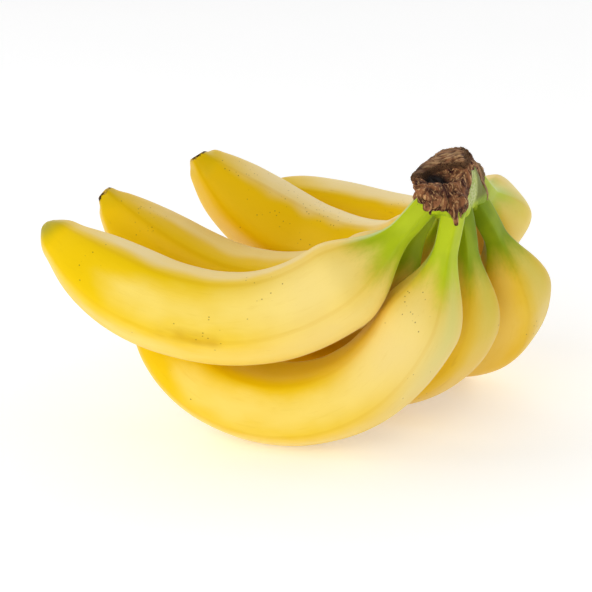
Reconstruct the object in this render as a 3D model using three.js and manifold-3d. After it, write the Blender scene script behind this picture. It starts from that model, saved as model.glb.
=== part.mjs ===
// A hand of seven bananas on its crown, cut from the stalk and lying on the bellies of its three
// lower fingers, in the way it comes to rest on a table.
//
// Millimetres, +Z up. +X runs from the fingertips towards the crown and +Y from the front finger to
// the back one. The origin is on the table, below the middle of the hand's box.
import * as THREE from 'three';
import { mergeVertices } from 'three/addons/utils/BufferGeometryUtils.js';
import Module from 'manifold-3d';

const wasm = await Module();
wasm.setup();

const DEGREE = Math.PI / 180;

// ---------------------------------------------------------------------------- driving dimensions

// The middle of the hand's box, seen from above, in the coordinates that the fingers are given in.
const HAND_MIDDLE = [-2.6, 45.9];

// What all the fingers share.
const NECK_RADIUS = 5;
const SHOULDER_LENGTH = 36; // over which the neck widens to the full girth
const TIP_LENGTH = 56; // over which the finger narrows to its dried tip
const TIP_RADIUS = 3;
const TIP_ROUNDNESS = 2.3; // 1 is a straight cone, more is a rounder finger
const TIP_BLUNTNESS = 0.85; // under 1 the last centimetre is blunter
const ROOT_DEPTH = 3; // how far a neck runs back into the crown

// A finger bends in one plane. Its bend is given in degrees per finger length at these shares of
// the length, and the first and last values follow from their neighbours.
const BEND_AT = [0, 0.22, 0.38, 0.68, 1];
const NECK_BEND_SHARE = 0.55;
const TIP_BEND_SHARE = 0.65;

// A finger's section is a five-sided figure with rounded ridges. Unless they are turned, one ridge
// runs along the outside of the bend and a flat side along the inside.
const RIDGES = 5;
const NECK_SHARPNESS = 8; // a higher number has sharper ridges
const BELLY_SHARPNESS = 5.5;

// Each finger: the middle of the neck where it leaves the crown, the direction in which it leaves
// (heading in plan from +X, dip below level), the turn of the bending plane about that direction,
// the turn of its ridges about its middle, the length along the middle, the bend at the shoulder,
// the belly and towards the tip, the slow sideways sweep in degrees, the radius of the belly and
// the length of the thin neck.
const FINGERS = [
  { name: 'finger_inner_1', root: [47, -20.5, 109], heading: 195, dip: 48, roll: 15, ridgeTurn: -16,
    length: 185, bend: [74, 158, 97], sweep: 0, radius: 18.9, neck: 13 },
  { name: 'finger_inner_2', root: [49.5, -7.5, 107.5], heading: 131, dip: 66, roll: 23, ridgeTurn: 6,
    length: 189, bend: [152, 118, 142], sweep: 0, radius: 18.6, neck: 14 },
  { name: 'finger_inner_3', root: [56.5, 10, 107], heading: 82, dip: 66, roll: 27, ridgeTurn: 34,
    length: 180, bend: [164, 220, 147], sweep: -27, radius: 18.6, neck: 16 },
  { name: 'finger_inner_4', root: [69, 23, 112], heading: 63, dip: 47, roll: 23, ridgeTurn: -24,
    length: 193, bend: [100, 187, 202], sweep: -20, radius: 18.7, neck: 21 },
  { name: 'finger_outer_1', root: [58.3, -18.5, 105.2], heading: 192, dip: 83, roll: 16, ridgeTurn: -12,
    length: 205, bend: [101, 184, 194], sweep: 11, radius: 17.5, neck: 14 },
  { name: 'finger_outer_2', root: [61, -1, 105.6], heading: 174, dip: 102, roll: 26, ridgeTurn: -14,
    length: 188, bend: [120, 248, 87], sweep: -16, radius: 17.6, neck: 22 },
  { name: 'finger_outer_3', root: [69.5, 17.5, 99.8], heading: 201, dip: 118, roll: 37, ridgeTurn: 32,
    length: 185, bend: [109, 223, 198], sweep: -15, radius: 17.6, neck: 19 },
];

// The fingers that the hand lies on, each pressed flat where it meets the table.
const RESTING = ['finger_outer_1', 'finger_outer_2', 'finger_outer_3'];

const GAP = 0.3; // between the crown and each neck in it

// The crown: a rounded block that stands on the row of necks. Its size at each level is a share of
// the half length and half width, from the underside (rise 0) to the dried cut top (rise 1).
const CROWN = {
  middle: [56, -1],
  heading: 63, // of the row of necks, from +X
  halfLength: 32,
  halfWidth: 11,
  lean: 7, // how far the cut top stands nearer to the front finger than the underside
  footHeight: 100,
  footEndLift: 1, // the ends of the row are higher than its middle
  footOuterDrop: 3, // the outer necks leave lower than the inner ones
  peakHeight: 124,
  peakAt: 13, // along the row from the middle
  nearDrop: 3,
  farDrop: 30,
};
const CROWN_LEVELS = [
  { rise: 0, size: 0.64 },
  { rise: 0.1, size: 0.84 },
  { rise: 0.35, size: 0.98 },
  { rise: 0.6, size: 1 },
  { rise: 0.82, size: 0.9 },
  { rise: 0.95, size: 0.78 },
  { rise: 1, size: 0.58 },
];
const CROWN_SQUARENESS = 2.6; // 2 is an oval, more is squarer
const CROWN_LOBES = 7;
const CROWN_LOBE_DEPTH = 0.03;
const CROWN_LOBE_TURN = 1;

// Fineness of the solids.
const CROWN_SIDES = 28;
const FINGER_SIDES = 20;
const FINGER_RINGS = 28;
const RING_CROWDING = 1.25; // over 1 the rings stand closer towards the tip
const STEPS_PER_RING = 4;
const TABLE_SIZE = 1000; // of the block that presses the resting fingers flat

// ---------------------------------------------------------------------------- shapes

const smoothStep = (x) => {
  const t = Math.min(Math.max(x, 0), 1);
  return t * t * (3 - 2 * t);
};

// How fast a finger bends at a share of its length, in degrees per finger length.
function bendRate(finger, share) {
  const [shoulder, belly, end] = finger.bend;
  const rates = [NECK_BEND_SHARE * shoulder, shoulder, belly, end, TIP_BEND_SHARE * end];
  const last = BEND_AT.length - 1;
  const i = Math.min(BEND_AT.findLastIndex((at) => share >= at), last - 1);
  const part = (share - BEND_AT[i]) / (BEND_AT[i + 1] - BEND_AT[i]);
  return THREE.MathUtils.lerp(rates[i], rates[i + 1], part);
}

// The finger's radius at a distance from the root: a thin neck, the shoulder, the belly and the tip.
function fingerRadius(finger, distance) {
  const widening = smoothStep((distance - finger.neck) / SHOULDER_LENGTH);
  const full = THREE.MathUtils.lerp(NECK_RADIUS, finger.radius, widening);
  const toTip = Math.min(Math.max((finger.length - distance) / TIP_LENGTH, 0), 1);
  const narrowing = (1 - (1 - toTip) ** TIP_ROUNDNESS) ** TIP_BLUNTNESS;
  return THREE.MathUtils.lerp(TIP_RADIUS, full, narrowing);
}

// A rounded five-sided section, one in size halfway between its ridges and its flats.
function sectionRadius(angle, sharpness) {
  const pitch = (2 * Math.PI) / RIDGES;
  let sum = 0;
  for (let side = 0; side < RIDGES; side += 1) {
    const facing = Math.max(Math.cos(angle - (side + 0.5) * pitch), 0);
    sum += facing ** sharpness;
  }
  const ridge = 2 ** (-1 / sharpness) / Math.cos(pitch / 2);
  return sum ** (-1 / sharpness) / ((1 + ridge) / 2);
}

// Stations along the middle of a finger, from rootDepth inside the crown to the tip. Each holds its
// point, the direction along the finger, the direction to the inside of the bend, and the distance.
function fingerStations(finger, rootDepth) {
  const heading = finger.heading * DEGREE;
  const dip = finger.dip * DEGREE;
  const start = new THREE.Vector3(
    Math.cos(dip) * Math.cos(heading), Math.cos(dip) * Math.sin(heading), -Math.sin(dip));
  const level = new THREE.Vector3().crossVectors(start, new THREE.Vector3(-1, 0, 0)).normalize();
  const inside = new THREE.Vector3().crossVectors(level, start).applyAxisAngle(
    start, finger.roll * DEGREE);
  const side = new THREE.Vector3().crossVectors(start, inside);

  const directionsAt = (bend, share) => {
    const turned = start.clone().multiplyScalar(Math.cos(bend))
      .addScaledVector(inside, Math.sin(bend));
    const sweep = finger.sweep * DEGREE * (share - 0.5);
    return {
      along: turned.multiplyScalar(Math.cos(sweep)).addScaledVector(side, Math.sin(sweep)),
      inward: start.clone().multiplyScalar(-Math.sin(bend))
        .addScaledVector(inside, Math.cos(bend)),
    };
  };

  const first = directionsAt(0, 0);
  const root = new THREE.Vector3(...finger.root);
  const stations = [{
    ...first, distance: -rootDepth, point: root.clone().addScaledVector(first.along, -rootDepth),
  }];
  const point = root.clone();
  let bend = 0;
  let share = 0;
  stations.push({ ...first, distance: 0, point: point.clone() });
  for (let ring = 1; ring <= FINGER_RINGS; ring += 1) {
    const nextShare = 1 - (1 - ring / FINGER_RINGS) ** RING_CROWDING;
    const step = (nextShare - share) / STEPS_PER_RING;
    for (let k = 0; k < STEPS_PER_RING; k += 1) {
      const middle = share + step / 2;
      const middleBend = bend + (bendRate(finger, share) * DEGREE * step) / 2;
      point.addScaledVector(directionsAt(middleBend, middle).along, finger.length * step);
      bend += bendRate(finger, middle) * DEGREE * step;
      share += step;
    }
    stations.push({
      ...directionsAt(bend, share), distance: share * finger.length, point: point.clone(),
    });
  }
  return stations;
}

// A closed skin over rings of points, with a flat cap at each end.
function skinOver(rings) {
  const sides = rings[0].length;
  const positions = rings.flat().flatMap((p) => [p.x, p.y, p.z]);
  const middles = [rings[0], rings[rings.length - 1]].map((ring) => {
    const middle = new THREE.Vector3();
    ring.forEach((p) => middle.addScaledVector(p, 1 / sides));
    return middle;
  });
  middles.forEach((p) => positions.push(p.x, p.y, p.z));

  const faces = [];
  const firstMiddle = rings.length * sides;
  const lastRow = (rings.length - 1) * sides;
  for (let i = 0; i < sides; i += 1) {
    const j = (i + 1) % sides;
    for (let row = 0; row < lastRow; row += sides) {
      faces.push(row + i, row + j, row + sides + j);
      faces.push(row + i, row + sides + j, row + sides + i);
    }
    faces.push(firstMiddle, j, i);
    faces.push(firstMiddle + 1, lastRow + i, lastRow + j);
  }
  const geometry = new THREE.BufferGeometry();
  geometry.setAttribute('position', new THREE.Float32BufferAttribute(positions, 3));
  geometry.setIndex(faces);
  return geometry;
}

// A finger's skin, set outwards by a margin.
function fingerGeometry(finger, margin = 0) {
  const rings = fingerStations(finger, ROOT_DEPTH + margin).map((station) => {
    const { along, inward, distance, point } = station;
    const side = new THREE.Vector3().crossVectors(inward, along).normalize();
    const outward = new THREE.Vector3().crossVectors(side, along);
    const radius = fingerRadius(finger, distance);
    const widening = smoothStep((distance - finger.neck) / SHOULDER_LENGTH);
    const sharpness = THREE.MathUtils.lerp(NECK_SHARPNESS, BELLY_SHARPNESS, widening);
    const turn = finger.ridgeTurn * DEGREE;
    return Array.from({ length: FINGER_SIDES }, (_, i) => {
      const angle = (i / FINGER_SIDES) * 2 * Math.PI + turn;
      const reach = radius * sectionRadius(angle - turn, sharpness) + margin;
      return point.clone()
        .addScaledVector(outward, reach * Math.cos(angle))
        .addScaledVector(side, reach * Math.sin(angle));
    });
  });
  return skinOver(rings);
}

// ---------------------------------------------------------------------------- joining and cutting

function toSolid(geometry) {
  const merged = mergeVertices(geometry);
  const { array } = merged.attributes.position;
  return new wasm.Manifold(new wasm.Mesh({
    numProp: 3, vertProperties: Float32Array.from(array), triVerts: Uint32Array.from(merged.index.array),
  }));
}

function toGeometry(solid) {
  const { numProp, vertProperties, triVerts } = solid.getMesh();
  const positions = [];
  for (let i = 0; i < vertProperties.length; i += numProp) {
    positions.push(vertProperties[i], vertProperties[i + 1], vertProperties[i + 2]);
  }
  const geometry = new THREE.BufferGeometry();
  geometry.setAttribute('position', new THREE.Float32BufferAttribute(positions, 3));
  geometry.setIndex(Array.from(triVerts));
  return geometry;
}

// ---------------------------------------------------------------------------- crown

// Height of the crown's underside and of its cut top over a place in its own plan, along the row
// of necks and across it.
function crownHeights(along, across) {
  const foot = CROWN.footHeight + CROWN.footEndLift * (along / CROWN.halfLength) ** 2
    - CROWN.footOuterDrop * (across / CROWN.halfWidth);
  const fromPeak = along - CROWN.peakAt;
  const drop = fromPeak > 0 ? CROWN.farDrop : CROWN.nearDrop;
  return [foot, CROWN.peakHeight - drop * (fromPeak / CROWN.halfLength) ** 2];
}

// The crown is a rounded block, one ring of points for each level from the underside to the top.
function crownGeometry() {
  const heading = CROWN.heading * DEGREE;
  const alongRow = new THREE.Vector3(Math.cos(heading), Math.sin(heading), 0);
  const acrossRow = new THREE.Vector3(Math.sin(heading), -Math.cos(heading), 0);
  const rings = CROWN_LEVELS.map(({ rise, size }) => (
    Array.from({ length: CROWN_SIDES }, (_, i) => {
      const angle = (i / CROWN_SIDES) * 2 * Math.PI;
      const square = (x) => Math.sign(x) * Math.abs(x) ** (2 / CROWN_SQUARENESS);
      const lobes = 1 + CROWN_LOBE_DEPTH * Math.cos(CROWN_LOBES * angle + CROWN_LOBE_TURN);
      const along = CROWN.halfLength * size * lobes * square(Math.cos(angle))
        + CROWN.lean * (0.5 - rise);
      const across = -CROWN.halfWidth * size * lobes * square(Math.sin(angle));
      const [foot, top] = crownHeights(along, across);
      return new THREE.Vector3(...CROWN.middle, THREE.MathUtils.lerp(foot, top, rise))
        .addScaledVector(alongRow, along)
        .addScaledVector(acrossRow, across);
    })
  ));
  return skinOver(rings);
}

// ---------------------------------------------------------------------------- the hand

const SKINS = {
  finger: new THREE.MeshStandardMaterial({ name: 'banana_skin', color: '#e6bc2c', roughness: 0.5 }),
  crown: new THREE.MeshStandardMaterial({ name: 'dried_crown', color: '#5b3d2a', roughness: 0.85 }),
};

const solids = new Map(FINGERS.map((finger) => [finger.name, toSolid(fingerGeometry(finger))]));

const table = new THREE.BoxGeometry(TABLE_SIZE, TABLE_SIZE, TABLE_SIZE);
table.deleteAttribute('normal');
table.deleteAttribute('uv');
table.translate(0, 0, -TABLE_SIZE / 2);
for (const name of RESTING) {
  solids.set(name, solids.get(name).subtract(toSolid(table)));
}

const crown = FINGERS.reduce(
  (block, finger) => block.subtract(toSolid(fingerGeometry(finger, GAP))),
  toSolid(crownGeometry()),
);

const hand = new THREE.Group();
hand.position.set(-HAND_MIDDLE[0], -HAND_MIDDLE[1], 0);

function addPiece(name, solid, material) {
  const mesh = new THREE.Mesh(toGeometry(solid), material);
  mesh.name = name;
  hand.add(mesh);
}

addPiece('crown', crown, SKINS.crown);
solids.forEach((solid, name) => addPiece(name, solid, SKINS.finger));

export default hand;
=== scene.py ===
"""The looks of a hand of seven bananas on its crown, lying on a table.

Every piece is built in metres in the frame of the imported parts. The fingers follow the same shape as
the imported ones, drawn finer, with their ridge lines, uneven skin and dried flower ends. The crown is
worked out as one rounded body that flows into the necks, with its dried cap, drips and fibres.
"""

import logging  # noqa: E402
import math  # noqa: E402
from dataclasses import dataclass  # noqa: E402
from enum import Enum  # noqa: E402
from itertools import product  # noqa: E402
from typing import Any, Optional, Sequence  # noqa: E402

import bpy  # noqa: E402
import numpy as np  # noqa: E402
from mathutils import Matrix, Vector, noise  # noqa: E402


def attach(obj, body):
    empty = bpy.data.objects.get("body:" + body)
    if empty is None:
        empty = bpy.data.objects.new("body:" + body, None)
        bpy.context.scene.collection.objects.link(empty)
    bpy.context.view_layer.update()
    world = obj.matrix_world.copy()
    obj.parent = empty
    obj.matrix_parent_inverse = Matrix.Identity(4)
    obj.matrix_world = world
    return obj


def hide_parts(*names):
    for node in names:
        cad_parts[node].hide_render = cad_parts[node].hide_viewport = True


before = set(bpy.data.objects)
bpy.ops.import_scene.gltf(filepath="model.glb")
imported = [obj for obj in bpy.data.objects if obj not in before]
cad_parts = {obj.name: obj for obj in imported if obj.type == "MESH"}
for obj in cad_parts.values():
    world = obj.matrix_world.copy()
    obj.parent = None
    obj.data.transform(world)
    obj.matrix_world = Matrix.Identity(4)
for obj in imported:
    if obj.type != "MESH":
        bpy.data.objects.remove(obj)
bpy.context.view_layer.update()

BODY = "root"
MM = 0.001
TINY = 1e-9
LOG = logging.getLogger("bananas")

Array = np.ndarray
Colour = tuple[float, float, float, float]
Span = tuple[float, float]

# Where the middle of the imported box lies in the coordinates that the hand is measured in, in mm.
HAND_MIDDLE = np.array([-2.6, 45.9, 0.0])

# How far a seed shifts a random field along each axis, and the patterns of a finger's finish.
SEED_STEPS = (17.3, 5.1, 31.7)
PATTERN_SHIFT = 0.37

# How sharp the crests of a creased field are.
CREST_SHARPNESS = 2.5


# ------------------------------------------------------------------------------ small tools


def to_frame(places: Array) -> Array:
    """Turns places in the hand's own millimetres into metres in the frame.

    Args:
        places: Points as rows, in the coordinates that the fingers are measured in.

    Returns:
        The same points in the frame.
    """
    return (np.asarray(places, float) - HAND_MIDDLE) * MM


def paint(code: str) -> Colour:
    """Reads a colour.

    Args:
        code: Six hexadecimal digits, as on a screen.

    Returns:
        Red, green and blue as a shader takes them, with full alpha.
    """
    screen = [int(code[i : i + 2], 16) / 255 for i in (0, 2, 4)]
    linear = [c / 12.92 if c <= 0.04045 else ((c + 0.055) / 1.055) ** 2.4 for c in screen]
    return (*linear, 1.0)


def smooth_step(low: float, high: float, values: Array) -> Array:
    """Rises smoothly from 0 at low to 1 at high."""
    t = np.clip((np.asarray(values, float) - low) / (high - low), 0, 1)
    return t * t * (3 - 2 * t)


def bell(values: Array, middle: float, width: float) -> Array:
    """Gives 1 at a middle value, and less and less away from it on both sides."""
    return np.exp(-(((values - middle) / width) ** 2))


def turned_from(angle: Array, middle: Array) -> Array:
    """Gives how far angles are turned from others, from -pi to pi."""
    return (angle - middle + math.pi) % (2 * math.pi) - math.pi


def unit(vectors: Array) -> Array:
    """Gives vectors a length of one."""
    return vectors / np.maximum(np.linalg.norm(vectors, axis=-1, keepdims=True), TINY)


def uneven(places: Array, pitch: float, seed: int) -> Array:
    """Reads a smooth random field.

    Args:
        places: Points as rows.
        pitch: The size of its bumps, in the unit of the points.
        seed: Picks one field of many.

    Returns:
        A value from about -1 to 1 for each point.
    """
    shift = Vector([seed * step for step in SEED_STEPS])
    scaled = (places.reshape(-1, 3) / pitch).tolist()
    values = [noise.noise(Vector(p) + shift) for p in scaled]
    return np.array(values).reshape(places.shape[:-1])


@dataclass(frozen=True)
class Ripple:
    """A random unevenness of a surface, with its depth and the pitch of its bumps in millimetres.

    Its bumps are drawn out along the first axis where along is less than 1, and the seed picks it.
    """

    depth: float
    pitch: float
    seed: int = 0
    along: float = 1.0

    def at(self, places: Array, seed: int) -> Array:
        """Gives its height at places, on both sides of zero."""
        return self.depth * uneven(places * [self.along, 1, 1], self.pitch, self.seed + seed)

    def crests(self, places: Array, seed: int) -> Array:
        """Gives how close places are to its sharp crests, 0 to 1, whatever its depth."""
        field = uneven(places * [self.along, 1, 1], self.pitch, self.seed + seed)
        return 1 - np.clip(np.abs(field) * CREST_SHARPNESS, 0, 1)


def make_piece(name: str, corners: Array, faces: Array, notes: dict[str, Array]) -> bpy.types.Object:
    """Makes a smooth-shaded mesh object.

    Args:
        name: The piece's name.
        corners: Its points in the frame, as rows.
        faces: Its faces as rows of four corners, or of three with the third one repeated.
        notes: Values that its finish reads at each point, one number or three for a point.

    Returns:
        The object, linked to the scene.
    """
    mesh = bpy.data.meshes.new(name)
    rows = [row[:3] if row[2] == row[3] else row for row in faces.tolist()]
    mesh.from_pydata(corners.tolist(), [], rows)
    for key, values in notes.items():
        plain = values.ndim == 1
        made = mesh.attributes.new(key, "FLOAT" if plain else "FLOAT_VECTOR", "POINT")
        made.data.foreach_set("value" if plain else "vector", values.astype(np.float32).ravel())
    mesh.shade_smooth()
    mesh.update()
    made_object = bpy.data.objects.new(name, mesh)
    bpy.context.scene.collection.objects.link(made_object)
    return made_object


# ------------------------------------------------------------------------------ finishes


@dataclass(frozen=True)
class Pattern:
    """A random pattern: its bumps a metre, its finer octaves, its stretch along and its shift."""

    scale: float
    detail: float = 2.0
    rough: float = 0.5
    along: float = 1.0
    shift: float = 0.0


@dataclass(frozen=True)
class Ramp:
    """A smooth way from a range of values, low to high, onto another one, start to end."""

    low: float
    high: float
    start: float = 0.0
    end: float = 1.0


@dataclass(frozen=True)
class Relief:
    """How deep a bump is, in metres, and how much of it shows."""

    depth: float
    strength: float = 1.0


# A ramp that only smooths a value, and white.
WHOLE = Ramp(0.0, 1.0)
WHITE: Colour = (1.0, 1.0, 1.0, 1.0)


class Nodes:
    """Places and joins the nodes of one tree."""

    # How far a seed shifts a pattern along each axis.
    shift_shares: tuple[float, float, float] = (1.0, 0.7, 1.3)

    def __init__(self, tree: Any) -> None:
        """Takes the tree in hand."""
        self.tree = tree

    def feed(self, socket: Any, value: Any) -> None:
        """Links a socket to another one, or sets it to a plain value.

        Args:
            socket: What is fed.
            value: A socket or a plain value.
        """
        if isinstance(value, bpy.types.NodeSocket):
            self.tree.links.new(value, socket)
        else:
            socket.default_value = value

    def where(self, kind: str) -> Any:
        """Reads the place in one kind of coordinates."""
        return self.tree.nodes.new("ShaderNodeTexCoord").outputs[kind]

    def note(self, key: str, vector: bool = False) -> Any:
        """Reads what the mesh notes at each point under a name.

        Args:
            key: The name.
            vector: Whether it is a place and not a number.

        Returns:
            What is noted.
        """
        made = self.tree.nodes.new("ShaderNodeAttribute")
        made.attribute_name = key
        return made.outputs["Vector" if vector else "Fac"]

    def stretch(self, place: Any, pattern: Pattern, seed: float) -> Any:
        """Gives the place at which a pattern is read, stretched and shifted as it asks.

        Args:
            place: The place on the piece.
            pattern: The pattern.
            seed: Shifts it, so that two pieces differ.

        Returns:
            The new place.
        """
        made = self.tree.nodes.new("ShaderNodeMapping")
        self.feed(made.inputs["Vector"], place)
        shift = seed + pattern.shift
        made.inputs["Scale"].default_value = (pattern.along, 1.0, 1.0)
        made.inputs["Location"].default_value = [shift * share for share in self.shift_shares]
        return made.outputs["Vector"]

    def cloud(self, place: Any, pattern: Pattern, seed: float = 0.0) -> Any:
        """Reads a soft random pattern.

        Args:
            place: The place on the piece.
            pattern: The pattern.
            seed: Shifts it.

        Returns:
            The value, about 0.5 in the middle.
        """
        made = self.tree.nodes.new("ShaderNodeTexNoise")
        self.feed(made.inputs["Vector"], self.stretch(place, pattern, seed))
        made.inputs["Scale"].default_value = pattern.scale
        made.inputs["Detail"].default_value = pattern.detail
        made.inputs["Roughness"].default_value = pattern.rough
        return made.outputs["Fac"]

    def cells(self, place: Any, pattern: Pattern, seed: float) -> tuple[Any, Any]:
        """Reads a pattern of scattered points.

        Args:
            place: The place on the piece.
            pattern: The pattern.
            seed: Shifts it.

        Returns:
            The distance to the nearest point, and a random number of that point.
        """
        made = self.tree.nodes.new("ShaderNodeTexVoronoi")
        self.feed(made.inputs["Vector"], self.stretch(place, pattern, seed))
        made.inputs["Scale"].default_value = pattern.scale
        apart = self.tree.nodes.new("ShaderNodeSeparateColor")
        self.tree.links.new(made.outputs["Color"], apart.inputs["Color"])
        return made.outputs["Distance"], apart.outputs["Red"]

    def band(self, value: Any, ramp: Ramp) -> Any:
        """Maps a value smoothly along a ramp.

        Args:
            value: A socket.
            ramp: The ranges that it maps.

        Returns:
            The mapped value.
        """
        made = self.tree.nodes.new("ShaderNodeMapRange")
        made.interpolation_type = "SMOOTHSTEP"
        self.feed(made.inputs["Value"], value)
        made.inputs["From Min"].default_value = ramp.low
        made.inputs["From Max"].default_value = ramp.high
        made.inputs["To Min"].default_value = ramp.start
        made.inputs["To Max"].default_value = ramp.end
        return made.outputs["Result"]

    def combine(self, operation: str, first: Any, second: Any) -> Any:
        """Works out one step of arithmetic on two values.

        Args:
            operation: The step, as the math node names it.
            first: A number or a socket.
            second: A number or a socket.

        Returns:
            The result.
        """
        made = self.tree.nodes.new("ShaderNodeMath")
        made.operation = operation
        self.feed(made.inputs[0], first)
        self.feed(made.inputs[1], second)
        return made.outputs["Value"]

    def add(self, first: Any, second: Any) -> Any:
        """Adds two values."""
        return self.combine("ADD", first, second)

    def times(self, first: Any, second: Any) -> Any:
        """Multiplies two values."""
        return self.combine("MULTIPLY", first, second)

    def blend(self, share: Any, first: Any, second: Any) -> Any:
        """Mixes two colours.

        Args:
            share: How much of the second one.
            first: A colour or a socket.
            second: A colour or a socket.

        Returns:
            The mixed colour.
        """
        made = self.tree.nodes.new("ShaderNodeMix")
        made.data_type = "RGBA"
        factor, colour_a, colour_b, result = 0, 6, 7, 2
        self.feed(made.inputs[factor], share)
        self.feed(made.inputs[colour_a], first)
        self.feed(made.inputs[colour_b], second)
        return made.outputs[result]

    def relief(self, height: Any, relief: Relief, under: Any = None) -> Any:
        """Makes a bump from a height.

        Args:
            height: From 0 to 1.
            relief: How deep it is.
            under: A bump that this one lies on.

        Returns:
            The normal for the shader.
        """
        made = self.tree.nodes.new("ShaderNodeBump")
        made.inputs["Strength"].default_value = relief.strength
        made.inputs["Distance"].default_value = relief.depth
        self.feed(made.inputs["Height"], height)
        if under is not None:
            self.feed(made.inputs["Normal"], under)
        return made.outputs["Normal"]


class Bench(Nodes):
    """Makes one material."""

    def __init__(self, name: str) -> None:
        """Starts a material with only its shader and its output.

        Args:
            name: The material's name.
        """
        self.material = bpy.data.materials.new(name)
        self.material.use_nodes = True
        super().__init__(self.material.node_tree)
        self.tree.nodes.clear()
        self.shader = self.tree.nodes.new("ShaderNodeBsdfPrincipled")
        output = self.tree.nodes.new("ShaderNodeOutputMaterial")
        self.tree.links.new(self.shader.outputs["BSDF"], output.inputs["Surface"])

    def finish(self, values: dict[str, Any]) -> None:
        """Links or sets sockets of the shader by their names."""
        for name, value in values.items():
            self.feed(self.shader.inputs[name], value)


@dataclass(frozen=True)
class PeelFinish:
    """Waxy banana peel, green at the neck, with freckles and a dried flower end.

    Its mesh notes for each point: place (the point as if the finger were straight, in metres),
    ripe_not_highlit, sheen_cream, tinge, ridge, green, olive, freckled, scuffed and dry (each from 0 to
    about 1). The pale yellow, laid where ripe_not_highlit is low, is a painted highlight; sheen_cream is
    painted sheen on the upward inner side and a painted highlight on the shoulder.
    """

    yellow: Colour = paint("f0c700")
    # painted highlight: the pale yellow of the brightly lit middle of the body
    highlight_pale_yellow: Colour = paint("fade70")
    # the peel's deeper yellow, also painted shade on the less lit fingers
    golden: Colour = paint("dca800")
    # painted sheen: the pale reflection of the bright surroundings on the upward inner side, also used for
    # the shoulder highlight
    sheen_cream: Colour = paint("f2d998")
    green: Colour = paint("b9cb1c")
    pale_green: Colour = paint("bccb60")
    deep_green: Colour = paint("708c08")
    olive: Colour = paint("a09604")
    freckle: Colour = paint("7a4c14")
    scuff: Colour = paint("c48c14")
    dry_tan: Colour = paint("c8a238")
    dry_brown: Colour = paint("3c2410")

    # Its random patterns.
    mottle: Pattern = Pattern(55.0, 3.0, 0.55, along=0.6)
    streaks: Pattern = Pattern(700.0, 2.0, 0.6, along=0.12)
    crumbs: Pattern = Pattern(1400.0, 3.0, 0.7)
    stains: Pattern = Pattern(420.0, shift=5.0)
    pores: Pattern = Pattern(2600.0, 1.0, along=0.5)
    dots: Pattern = Pattern(560.0, along=0.8)
    rubs: Pattern = Pattern(260.0, along=0.25, shift=3.0)
    rub_patches: Pattern = Pattern(38.0, 1.0, shift=9.0)

    # How its colours follow them.
    ripe_mottle: Ramp = Ramp(0.3, 0.7, -0.15, 0.15)
    cream_mottle: Ramp = Ramp(0.3, 0.65, 0.75, 1.0)
    golden_streaks: Ramp = Ramp(0.55, 0.8, 0.0, 0.12)
    golden_ridges: Ramp = Ramp(0.5, 1.0, 0.0, 0.18)
    green_streaks: Ramp = Ramp(0.2, 0.8, -0.06, 0.06)
    leafy_mottle: Ramp = Ramp(0.35, 0.65, -0.2, 0.2)
    olive_mottle: Ramp = Ramp(0.2, 0.7, 0.5, 1.0)
    dry_crumbs: Ramp = Ramp(0.3, 0.7, -0.2, 0.2)
    dry_edge: Ramp = Ramp(0.3, 0.55)
    dry_stains: Ramp = Ramp(0.46, 0.6)
    clear_share: Ramp = Ramp(0.0, 1.0, 0.998, 0.2)
    dot_edge: Ramp = Ramp(0.06, 0.22, 0.75, 0.0)
    rub_edge: Ramp = Ramp(0.66, 0.78)
    rub_patch_edge: Ramp = Ramp(0.56, 0.66)
    rub_where_noted: Ramp = Ramp(0.4, 0.62, 0.2, 0.9)
    rub_strength: float = 0.5

    # Its shine and its relief.
    roughness: Ramp = Ramp(0.3, 0.7, 0.40, 0.52)
    dry_roughness: float = 0.4
    gloss: float = 0.34
    gloss_tint: Colour = (1.0, 0.85, 0.12, 1.0)
    wax: float = 0.12
    wax_roughness: float = 0.35
    bloom: float = 0.18
    bloom_roughness: float = 0.3
    streak_relief: Relief = Relief(0.00012, 0.5)
    pore_relief: Relief = Relief(0.00006, 0.4)
    crumb_relief: Relief = Relief(0.0005, 0.8)

    def material(self, name: str, seed: float, deepness_and_shade: float, leafiness: float) -> bpy.types.Material:
        """Makes the peel of one finger.

        Args:
            name: The material's name.
            seed: Shifts its patterns.
            deepness_and_shade: How golden its yellow is, 0 to 1, which on the less lit fingers stands for
                painted shade.
            leafiness: How deep its green is, 0 to 1.

        Returns:
            The material.
        """
        bench = Bench(name)
        place = bench.note("place", vector=True)
        mottle = bench.cloud(place, self.mottle, seed)
        streaks = bench.cloud(place, self.streaks, seed)
        crumbs = bench.cloud(place, self.crumbs)
        stains = bench.cloud(place, self.stains, seed)
        pores = bench.cloud(place, self.pores, seed)

        colour = self._yellow(bench, mottle, streaks, deepness_and_shade)
        colour = self._greened(bench, colour, mottle, streaks, leafiness)
        colour = bench.blend(self._freckles(bench, place, seed), colour, self.freckle)
        colour = bench.blend(self._scuffs(bench, place, seed), colour, self.scuff)
        is_dry = bench.band(bench.add(bench.note("dry"), bench.band(crumbs, self.dry_crumbs)), self.dry_edge)
        dried = bench.blend(bench.band(stains, self.dry_stains), self.dry_tan, self.dry_brown)

        skin = bench.relief(streaks, self.streak_relief)
        skin = bench.relief(pores, self.pore_relief, skin)
        skin = bench.relief(bench.times(crumbs, is_dry), self.crumb_relief, skin)
        bench.finish(
            {
                "Base Color": bench.blend(is_dry, colour, dried),
                "Roughness": bench.add(
                    bench.band(mottle, self.roughness), bench.times(is_dry, self.dry_roughness)
                ),
                "Specular IOR Level": self.gloss,
                "Specular Tint": self.gloss_tint,
                "Coat Weight": self.wax,
                "Coat Roughness": self.wax_roughness,
                "Sheen Weight": self.bloom,
                "Sheen Roughness": self.bloom_roughness,
                "Normal": skin,
            }
        )
        return bench.material

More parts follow.
